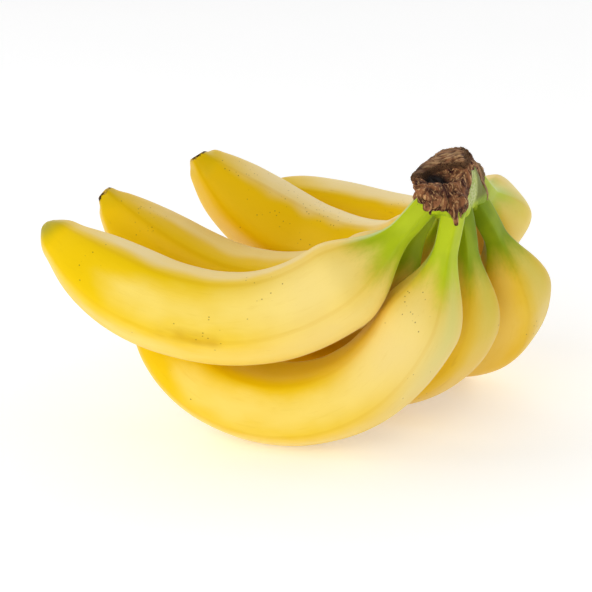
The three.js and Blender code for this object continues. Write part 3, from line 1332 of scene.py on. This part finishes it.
def surface_net(values: Array, low: Array, step: float) -> tuple[Array, Array]:
    """Meshes the zero level of a field on a grid, with one point in each cell that it crosses.

    Args:
        values: The field, negative inside, with no inside on its border.
        low: The place of the grid's first point.
        step: The grid's pitch.

    Returns:
        The points as rows, and the faces as rows of four.
    """
    cells = tuple(n - 1 for n in values.shape)
    total, crossings = np.zeros((*cells, 3)), np.zeros(cells)
    for axis, (b, c) in product(range(3), product((0, 1), repeat=2)):
        others = [k for k in range(3) if k != axis]
        corner = np.zeros(3, int)
        corner[others] = (b, c)
        start = values[tuple(slice(o, o + n) for o, n in zip(corner, cells))]
        corner_end = corner.copy()
        corner_end[axis] = 1
        end = values[tuple(slice(o, o + n) for o, n in zip(corner_end, cells))]
        crossed = (start < 0) != (end < 0)
        part = np.where(crossed, start / np.where(crossed, start - end, 1.0), 0.0)
        for k in range(3):
            total[..., k] += np.where(crossed, corner[k] + (part if k == axis else 0.0), 0.0)
        crossings += crossed
    used = crossings > 0
    index = np.full(cells, -1)
    index[used] = np.arange(used.sum())
    points = low + step * (np.argwhere(used) + total[used] / crossings[used][:, None])

    faces = []
    inside = values < 0
    for axis in range(3):
        b, c = [(axis + 1) % 3, (axis + 2) % 3]
        here = np.moveaxis(inside, (axis, b, c), (0, 1, 2))
        cell = np.moveaxis(index, (axis, b, c), (0, 1, 2))
        starts, ends = here[:-1, 1:-1, 1:-1], here[1:, 1:-1, 1:-1]
        around = [cell[:, :-1, :-1], cell[:, 1:, :-1], cell[:, 1:, 1:], cell[:, :-1, 1:]]
        for crossed, order in ((starts & ~ends, (0, 1, 2, 3)), (~starts & ends, (3, 2, 1, 0))):
            faces.append(np.stack([around[k][crossed] for k in order], axis=-1))
    return points, np.concatenate(faces)


@dataclass(frozen=True)
class Drip:
    """A run of dried tissue down from the crown's dry cap: where round it, how long and how wide."""

    turn: float
    length: float
    width: float

    def drop(self, turn: Array) -> Array:
        """Gives how far it comes down at angles round the crown."""
        return self.length * bell(np.degrees(turned_from(turn, math.radians(self.turn))), 0.0, self.width)


@dataclass(frozen=True)
class Tongue:
    """A dried tongue that hangs over a neck, from one place to another, with its radius at both."""

    start: tuple[float, float, float]
    end: tuple[float, float, float]
    radii: tuple[float, float]

    def distance(self, own: Array) -> Array:
        """Gives distances to the tongue, negative inside, for places along, across and up.

        Args:
            own: Places along the crown, across it and up, as rows.

        Returns:
            The distance of each.
        """
        start, end = np.array(self.start), np.array(self.end)
        run = end - start
        share = np.clip((own - start) @ run / (run @ run), 0, 1)
        radius = self.radii[0] + (self.radii[1] - self.radii[0]) * share
        return np.linalg.norm(own - start - share[..., None] * run, axis=-1) - radius


@dataclass(frozen=True)
class Hollow:
    """A rounded hollow in the crown, placed along, across and up, with its half sizes."""

    middle: tuple[float, float, float]
    half_sizes: tuple[float, float, float]
    edge: float

    def distance(self, along: Array, across: Array, height: Array) -> Array:
        """Gives rough distances to the hollow, negative inside.

        Args:
            along: Places along the crown.
            across: Places across it.
            height: Their heights.

        Returns:
            The distance of each.
        """
        shares = [
            (value - middle) / half
            for value, middle, half in zip((along, across, height), self.middle, self.half_sizes)
        ]
        return (np.sqrt(sum(share**2 for share in shares)) - 1) * min(self.half_sizes)


@dataclass
class Crown:
    """The block that the necks grow from, with its dried cap, in millimetres and degrees.

    Its own plan runs along the row of necks and across it, to the outer side. A span holds where
    something sets in and where it is full.
    """

    middle: tuple[float, float] = (56.0, -1.0)
    heading: float = 63.0
    half_length: float = 32.0
    half_width: float = 11.0
    lean: float = 7.0
    foot_height: float = 100.0
    foot_end_lift: float = 1.0
    foot_outer_drop: float = 3.0
    foot_near_lift: float = 11.0
    peak_height: float = 123.6
    peak_at: float = 20.0
    peak_slant: float = 1.0
    near_drop: float = 3.6
    far_drop: float = 36.0
    far_curve: float = 1.15
    squareness: float = 2.6
    levels: tuple[tuple[float, float], ...] = (
        (0, 0.64), (0.1, 0.84), (0.35, 0.98), (0.6, 1), (0.82, 0.9), (0.95, 0.78), (1, 0.58),
    )  # its size at shares of its height
    lobes: int = 7
    lobe_depth: float = 0.03
    lobe_turn: float = 1.0
    least_height: float = 1.0
    edge: float = 2.5

    # How far to the left and right it reaches at each height, and what is scooped out of its top.
    left_limits: tuple[tuple[float, float], ...] = (
        (100, 47.5), (109, 46.2), (111, 44.6), (113, 44.3), (114.5, 45.0), (116, 43.2), (117.2, 41.8),
        (118.5, 42.0), (120.5, 44.0), (122.5, 48.5), (124.5, 54),
    )
    right_limits: tuple[tuple[float, float], ...] = (
        (100, 76), (104, 74.2), (109, 72.1), (115.5, 69.7), (120.6, 66.8), (124, 61),
    )
    hollows: tuple[Hollow, ...] = (
        Hollow((-12, 4, 126.5), (17, 11, 11), 2.0), Hollow((-11, 1.5, 117.5), (7, 5, 6), 2.0),
    )

    # How the necks flow into it.
    sleeve_radius: float = 5.9
    sleeve_end_radius: float = 3.4
    sleeve_length: float = 7.0
    sleeve_fillet: float = 3.6

    # The dry cap: how far it comes down from the cut top, all round, and what hangs from it.
    cap_turns: tuple[float, ...] = (-180, -140, -90, -30, 20, 44, 50, 62, 80, 88, 96, 118, 130, 150, 180)
    cap_depths: tuple[float, ...] = (8, 7, 7, 9, 15, 13, 9, 6.5, 6, 11, 15, 14.5, 13, 10, 7)
    cap_thickness: float = 0.5
    drips: tuple[Drip, ...] = (
        Drip(153, 4.0, 5.0), Drip(113, 6.0, 3.0), Drip(101, 2.0, 4.0), Drip(-110, 5.0, 6.0),
        Drip(-70, 5.0, 7.0),
    )
    tongues: tuple[Tongue, ...] = (
        Tongue((-26.3, 7.1, 112.4), (-31.1, 6.1, 111.7), (2.4, 1.7)),
        Tongue((-19.2, 12.9, 109.1), (-19.4, 13.8, 102.2), (2.0, 0.5)),
        Tongue((-15.5, 13.0, 108.2), (-13.7, 15.0, 107.2), (1.8, 0.8)),
    )
    tongue_fillet: float = 1.2

    # Its torn and wrinkled skin.
    tears: tuple[Ripple, ...] = (Ripple(1.1, 5.0), Ripple(0.6, 1.8, 1))
    tear_span: Span = (-0.35, 0.35)
    scoop_span: Span = (1.8, 1.0)
    tongue_span: Span = (1.0, 0.4)
    # painted shade: where the deepest hollow is painted black
    pit_shade_span: Span = (1.5, -1.0)
    lumps: Ripple = Ripple(0.7, 8.0, 3)
    wrinkles: Ripple = Ripple(0.7, 3.2, 2, along=0.3)
    fine_wrinkles: Ripple = Ripple(0.5, 1.7, 5, along=0.2)

    # The bark of its top: how deep, where along it, which way its grain runs and where it is black.
    bark_depth_span: Span = (3.0, 1.0)
    bark_span: Span = (-16.0, -8.0)
    bark_grain: tuple[float, float] = (0.85, 0.5)
    bark_black: float = 0.7
    bark_black_slope: float = 0.5
    bark_black_span: Span = (-3.0, -11.0)

    # Where its top is weathered, and what shows on its green outer flank.
    weathered_along: Span = (19.0, 24.0)
    weathered_across: Span = (-7.0, -1.0)
    flank_span: Span = (3.0, 7.0)
    flank_height_span: Span = (101.0, 105.0)
    flaky_spans: tuple[Span, Span] = ((-4.0, 0.0), (12.0, 7.0))
    olive_spans: tuple[Span, Span] = ((7.0, 12.0), (28.0, 22.0))

    # Fineness of the mesh.
    cell: float = 0.45
    room_half_height: float = 20.0
    margin: float = 3.0
    seed: int = 11

    def own(self, places: Array) -> tuple[Array, Array]:
        """Turns places into the crown's own plan.

        Args:
            places: Points as rows.

        Returns:
            Distances from its middle along the row of necks and across it, to the outer side.
        """
        heading = math.radians(self.heading)
        x, y = places[..., 0] - self.middle[0], places[..., 1] - self.middle[1]
        along = x * math.cos(heading) + y * math.sin(heading)
        return along, x * math.sin(heading) - y * math.cos(heading)

    def heights(self, along: Array, across: Array) -> tuple[Array, Array]:
        """Gives the heights of its underside and of its cut top over a place in its plan.

        Args:
            along: Places along the crown.
            across: Places across it.

        Returns:
            Both heights.
        """
        foot = self.foot_height + self.foot_end_lift * (along / self.half_length) ** 2
        foot = foot - self.foot_outer_drop * across / self.half_width
        foot = foot + self.foot_near_lift * np.maximum(-along / self.half_length, 0) ** 2
        share = (along - self.peak_at + self.peak_slant * np.maximum(across, 0)) / self.half_length
        near = self.near_drop * np.maximum(-share, 0)
        far = self.far_drop * np.maximum(share, 0) ** self.far_curve
        return foot, self.peak_height - near - far

    def block(self, places: Array) -> Array:
        """Gives distances to the plain block, negative inside.

        Args:
            places: Points as rows.

        Returns:
            The distance of each.
        """
        along_here, across = self.own(places)
        foot, top = self.heights(along_here, across)
        rise = np.clip((places[..., 2] - foot) / np.maximum(top - foot, self.least_height), 0, 1)
        size = np.interp(rise, *zip(*self.levels))
        along = along_here - self.lean * (0.5 - rise)
        turn = np.arctan2(across / self.half_width, along / self.half_length)
        size = size * (1 + self.lobe_depth * np.cos(self.lobes * turn + self.lobe_turn))
        n = self.squareness
        share = np.abs(along / (self.half_length * size)) ** n
        share = (share + np.abs(across / (self.half_width * size)) ** n) ** (1 / n)
        out = np.hypot(along, across) * (1 - 1 / np.maximum(share, TINY))
        beyond = np.maximum(foot - places[..., 2], places[..., 2] - top)
        left = np.interp(places[..., 2], *zip(*self.left_limits)) - places[..., 0]
        right = places[..., 0] - np.interp(places[..., 2], *zip(*self.right_limits))
        body = rounded_and(rounded_and(out, beyond, self.edge), np.maximum(left, right), self.edge)
        for hollow in self.hollows:
            body = rounded_and(body, -hollow.distance(along_here, across, places[..., 2]), hollow.edge)
        return body

    def sleeve(self, places: Array, finger: Finger) -> Array:
        """Gives distances to the flare round a finger's neck, negative inside.

        Args:
            places: Points as rows.
            finger: The finger.

        Returns:
            The distance of each.
        """
        start = finger.start_directions()[0]
        inner = np.array(finger.root) - start * finger.root_depth
        inner[2] -= finger.root_sag
        offset = places - inner
        full = finger.root_depth + self.sleeve_length
        ahead = offset @ start
        share = np.clip(ahead / full, 0, 1)
        radius = self.sleeve_radius + (self.sleeve_end_radius - self.sleeve_radius) * share
        away = np.linalg.norm(offset - np.clip(ahead, 0, full)[..., None] * start, axis=-1)
        return away - radius

    def tongue_distance(self, places: Array) -> Array:
        """Gives distances to the nearest dried tongue, negative inside."""
        own = np.stack([*self.own(places), places[..., 2]], axis=-1)
        return np.minimum.reduce([tongue.distance(own) for tongue in self.tongues])

    def cap_edge(self, along: Array, across: Array, top: Array) -> Array:
        """Gives the height of the lower edge of the dry cap.

        Args:
            along: Places along the crown.
            across: Places across it.
            top: The height of its cut top there.

        Returns:
            The height at each.
        """
        turn = np.arctan2(across / self.half_width, along / self.half_length)
        edge = top - np.interp(np.degrees(turn), self.cap_turns, self.cap_depths)
        return edge - sum(drip.drop(turn) for drip in self.drips)

    def build(self, fingers: Sequence[Finger]) -> bpy.types.Object:
        """Works the crown out on a grid and makes its mesh.

        Args:
            fingers: The fingers whose necks it holds.

        Returns:
            The crown, in the frame.
        """
        low, high = self._room(fingers)
        counts = np.ceil((high - low) / self.cell).astype(int) + 1
        axes = [low[k] + self.cell * np.arange(counts[k]) for k in range(3)]
        grid = np.stack(np.meshgrid(*axes, indexing="ij"), axis=-1)
        body = self.block(grid)
        for finger in fingers:
            body = rounded_or(body, self.sleeve(grid, finger), self.sleeve_fillet)
        body = rounded_or(body, self.tongue_distance(grid), self.tongue_fillet)
        points, faces = surface_net(body, low, self.cell)
        return self._weathered(points, faces)

    def _room(self, fingers: Sequence[Finger]) -> tuple[Array, Array]:
        """Gives the lowest and highest corner of the grid that holds the crown.

        Args:
            fingers: The fingers whose necks it holds.

        Returns:
            Both corners.
        """
        middle = np.array([*self.middle, (self.foot_height + self.peak_height) / 2])
        half = np.array([self.half_length, self.half_length, self.room_half_height])
        tips = np.array([f.root + f.start_directions()[0] * self.sleeve_length for f in fingers])
        reach = self.sleeve_radius + self.margin
        low = np.minimum(middle - half, tips.min(axis=0) - reach) - self.margin
        high = np.maximum(middle + half, tips.max(axis=0) + reach) + self.margin
        return low, high

    def _weathered(self, points: Array, faces: Array) -> bpy.types.Object:
        """Dries, wrinkles and frays the smooth body.

        Args:
            points: Its points, in millimetres.
            faces: Its faces.

        Returns:
            The crown.
        """
        along, across = self.own(points)
        height = points[:, 2]
        _, top = self.heights(along, across)
        torn = sum(tear.at(points, self.seed) for tear in self.tears)
        scoops = [hollow.distance(along, across, height) for hollow in self.hollows]
        dry = [
            smooth_step(*self.tear_span, height - self.cap_edge(along, across, top) + torn),
            smooth_step(*self.scoop_span, np.abs(np.minimum(*scoops))),
            smooth_step(*self.tongue_span, self.tongue_distance(points)),
        ]
        dry = np.maximum.reduce(dry)

        bark = smooth_step(*self.bark_depth_span, top - height)
        bark = bark * smooth_step(*self.bark_span, along - across)
        ahead, aside = self.bark_grain
        upright = np.stack([height, along, across], axis=-1)
        round_rim = [ahead * along + aside * across, ahead * across - aside * along, height]
        grain = upright + (np.stack(round_rim, axis=-1) - upright) * bark[:, None]

        wrinkles = self.wrinkles.crests(grain, self.seed)
        crease = wrinkles * self.fine_wrinkles.crests(grain, self.seed)
        push = self.cap_thickness + self.lumps.at(points, self.seed)
        push = dry * (push - self.wrinkles.depth * wrinkles - self.fine_wrinkles.depth * crease)
        points = points + face_normals(points, faces) * push[:, None]

        black = self.bark_black * smooth_step(*self.bark_black_span, along + self.bark_black_slope * across)
        outer = smooth_step(*self.flank_span, across) * smooth_step(*self.flank_height_span, points[:, 2])
        weathered = smooth_step(*self.weathered_along, along) * smooth_step(*self.weathered_across, across)
        notes = {
            "grain": grain * MM,
            "dry": dry,
            # Painted shade: black in the deepest hollow.
            "hollow": smooth_step(*self.pit_shade_span, scoops[-1]),
            # Painted shade: black in the creases, and darker towards the near end of the bark.
            "crease": np.maximum(crease, black * bark),
            "flaky": outer * math.prod(smooth_step(*span, along) for span in self.flaky_spans),
            "olive": outer * math.prod(smooth_step(*span, along) for span in self.olive_spans),
            "bark": bark,
            "weathered": weathered,
        }
        return make_piece("crown_cap", to_frame(points), faces, notes)

    def dress(self, piece: bpy.types.Object, finish: CrownFinish) -> None:
        """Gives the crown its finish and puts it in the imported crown's place.

        Args:
            piece: The crown's mesh object.
            finish: The dried tissue.
        """
        piece.data.materials.append(finish.material("crown_tissue"))
        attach(piece, BODY)
        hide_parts("crown")


def face_normals(points: Array, faces: Array) -> Array:
    """Works out each point's normal from the faces round it.

    Args:
        points: Points as rows.
        faces: Faces as rows of four points.

    Returns:
        Normals as rows.
    """
    a, b, c, d = (points[faces[:, k]] for k in range(4))
    upright = np.cross(c - a, d - b)
    normals = np.zeros_like(points)
    for k in range(4):
        np.add.at(normals, faces[:, k], upright)
    return unit(normals)


# ------------------------------------------------------------------------------ studio


@dataclass(frozen=True)
class Lamp:
    """A soft rectangular light: its turn from the front to the right, its rise, size and power."""

    name: str
    turn: float
    rise: float
    distance: float
    size: tuple[float, float]
    power: float
    mirrored: bool


@dataclass
class Studio:
    """The table, the lights and the camera, in metres, degrees and watts."""

    table_size: float = 12.0
    camera_target: tuple[float, float, float] = (-0.0024, -0.0459, 0.063)
    camera_distance: float = 1.031
    camera_elevation: float = 19.0
    lens: float = 150.31
    sensor: float = 36.0
    lamps: tuple[Lamp, ...] = (
        Lamp("right_light", 90, 33, 2.2, (3.0, 0.9), 15.5, True),
        Lamp("front_light", -24, 28, 1.6, (1.0, 1.0), 7.2, True),
        Lamp("left_fill", -90, 30, 1.6, (1.0, 1.0), 8.0, False),
        Lamp("low_light", -20, 6, 1.6, (1.6, 1.0), 6.2, True),
    )

    # The sky's strength everywhere, and what it gains along two of its axes.
    sky_dim: float = 0.12
    sky_glows: tuple[tuple[str, Ramp], ...] = (
        ("Z", Ramp(0.55, 0.85, 0.0, 0.2)), ("Y", Ramp(0.1, 0.8, 0.0, 1.0)),
    )

    def lay_table(self, finish: TableFinish) -> bpy.types.Object:
        """Lays the table that the hand lies on.

        Args:
            finish: The table's finish.

        Returns:
            The table.
        """
        half = self.table_size / 2
        corners = np.array([[-half, -half, 0], [half, -half, 0], [half, half, 0], [-half, half, 0]])
        table = make_piece("table", corners, np.array([[0, 1, 2, 3]]), {})
        table.data.materials.append(finish.material("table_white"))
        return table

    def place_camera(self) -> None:
        """Places the camera and looks at the hand through it."""
        data = bpy.data.cameras.new("camera")
        data.lens, data.sensor_width = self.lens, self.sensor
        camera = bpy.data.objects.new("camera", data)
        bpy.context.scene.collection.objects.link(camera)
        rise = math.radians(self.camera_elevation)
        back = Vector((0, -math.cos(rise), math.sin(rise)))
        camera.location = Vector(self.camera_target) + back * self.camera_distance
        camera.rotation_euler = (-back).to_track_quat("-Z", "Y").to_euler()
        bpy.context.scene.camera = camera

    def hang(self, lamp: Lamp) -> None:
        """Hangs a soft light that faces the hand.

        Args:
            lamp: The lamp.
        """
        data = bpy.data.lights.new(lamp.name, "AREA")
        data.shape = "RECTANGLE"
        data.size, data.size_y = lamp.size
        data.energy = lamp.power
        light = bpy.data.objects.new(lamp.name, data)
        turn, rise = math.radians(lamp.turn), math.radians(lamp.rise)
        away = Vector((math.sin(turn) * math.cos(rise), -math.cos(turn) * math.cos(rise), math.sin(rise)))
        light.location = Vector(self.camera_target) + away * lamp.distance
        light.rotation_euler = away.to_track_quat("Z", "Y").to_euler()
        light.visible_glossy = lamp.mirrored
        light.visible_camera = False
        bpy.context.scene.collection.objects.link(light)

    def light_up(self) -> None:
        """Fills the studio with soft light from the lamps, from overhead and from behind."""
        scene = bpy.context.scene
        world = bpy.data.worlds.new("studio")
        world.use_nodes = True
        nodes = Nodes(world.node_tree)
        apart = nodes.tree.nodes.new("ShaderNodeSeparateXYZ")
        nodes.feed(apart.inputs["Vector"], nodes.where("Generated"))
        strength: Any = self.sky_dim
        for axis, glow in self.sky_glows:
            strength = nodes.add(strength, nodes.band(apart.outputs[axis], glow))
        background = nodes.tree.nodes["Background"]
        nodes.feed(background.inputs["Color"], WHITE)
        nodes.feed(background.inputs["Strength"], strength)
        scene.world = world
        for lamp in self.lamps:
            self.hang(lamp)
        scene.view_settings.view_transform = "Standard"


# ------------------------------------------------------------------------------ the whole


def main() -> None:
    """Builds every piece in order."""
    logging.basicConfig(level=logging.INFO, format="%(message)s")
    studio = Studio()
    studio.place_camera()
    peel = PeelFinish()
    for finger in FINGERS:
        piece = finger.build()
        finger.dress(piece, peel)
        LOG.info("%s: %d faces", piece.name, len(piece.data.polygons))
    crown = Crown()
    block = crown.build(FINGERS)
    crown.dress(block, CrownFinish())
    LOG.info("%s: %d faces", block.name, len(block.data.polygons))
    studio.lay_table(TableFinish())
    studio.light_up()


if __name__ == "__main__":
    main()
